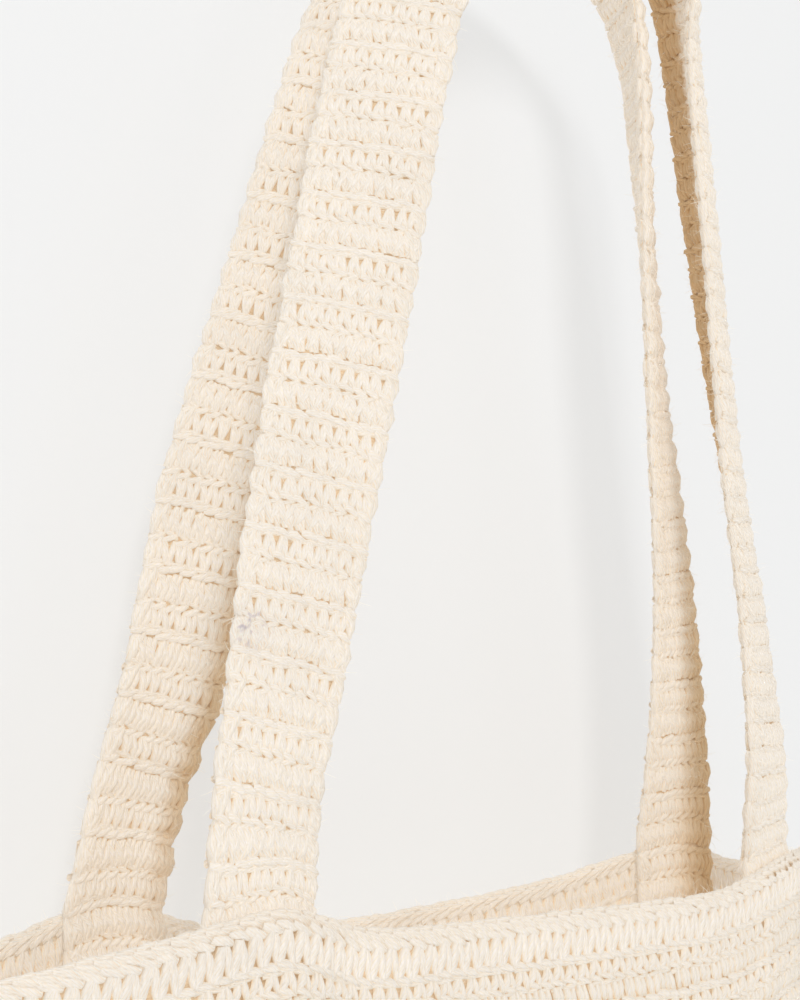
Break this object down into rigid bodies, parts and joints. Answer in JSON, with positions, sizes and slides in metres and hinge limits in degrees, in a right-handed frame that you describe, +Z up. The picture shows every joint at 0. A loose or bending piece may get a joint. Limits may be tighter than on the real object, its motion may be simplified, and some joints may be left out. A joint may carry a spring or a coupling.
{
  "type": "crochet tote bag",
  "caption": "Soft crocheted cotton tote, open at the top, with a chain edging round its rim and long wide straps sewn inside the walls, hanging by the straps.",
  "frame": {"origin": "the hang point: under the top of the strap arches, midway between the two straps", "axes": "+Z up, +X towards the bag's right as seen from the front, -Y out of the bag's front wall"},
  "size_m": [0.453, 0.1216, 0.7731],
  "materials": {
    "body_yarn": "matte crocheted cotton",
    "edging_yarn": "matte crocheted cotton",
    "strap_yarn": "matte crocheted cotton"
  },
  "bodies": {
    "root": {"bag_body": "body_yarn", "rim_edging": "edging_yarn", "front_strap": "strap_yarn", "back_strap": "strap_yarn"}
  },
  "joints": []
}
